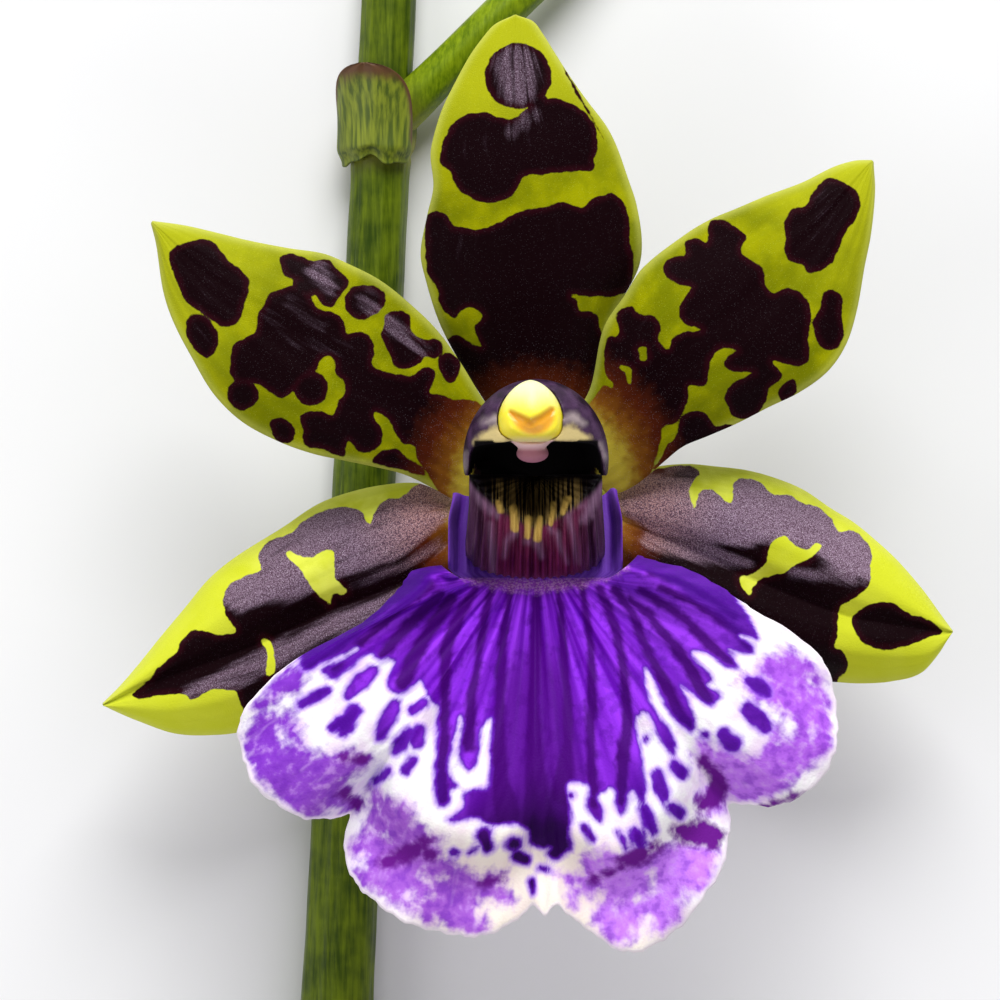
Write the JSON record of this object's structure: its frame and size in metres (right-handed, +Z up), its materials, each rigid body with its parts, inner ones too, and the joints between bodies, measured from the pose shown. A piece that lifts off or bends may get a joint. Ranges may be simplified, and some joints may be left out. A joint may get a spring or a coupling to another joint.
{
  "type": "zygopetalum orchid bloom on a cut flower spike",
  "caption": "Picked zygopetalum orchid bloom with blotched sepals and petals and a broad violet lip, on a short cut length of its flower spike, lying face up.",
  "frame": {"origin": "middle of the cutting's bounding box, on the surface that it lies on", "axes": "+Z up, out of the bloom's face; +Y along the flower spike towards its tip and towards the top of the bloom; +X to the bloom's right as it is looked at"},
  "size_m": [0.07, 0.1158, 0.0359],
  "materials": {
    "stem": "smooth fresh green flower spike",
    "stalk": "smooth fresh yellow-green stalk",
    "ovary": "smooth ribbed green ovary",
    "bract": "thin papery bract with a brown edge",
    "tepal": "lime-green waxy petal with maroon-black blotches",
    "lip": "velvety violet lip with a white net and a white rim",
    "callus": "glossy maroon-purple ridged flesh",
    "column": "glossy dark purple flesh with cream bands",
    "anther": "waxy bright yellow cap"
  },
  "bodies": {
    "root": {"flower_spike": "stem", "upper_stalk": "stalk", "ovary_stalk": "ovary", "spike_bract_flower": "bract", "spike_bract_upper": "bract", "dorsal_sepal": "tepal", "left_petal": "tepal", "right_petal": "tepal", "left_lateral_sepal": "tepal", "right_lateral_sepal": "tepal", "lip": "lip", "callus": "callus", "column": "column", "anther_cap": "anther"}
  },
  "joints": []
}
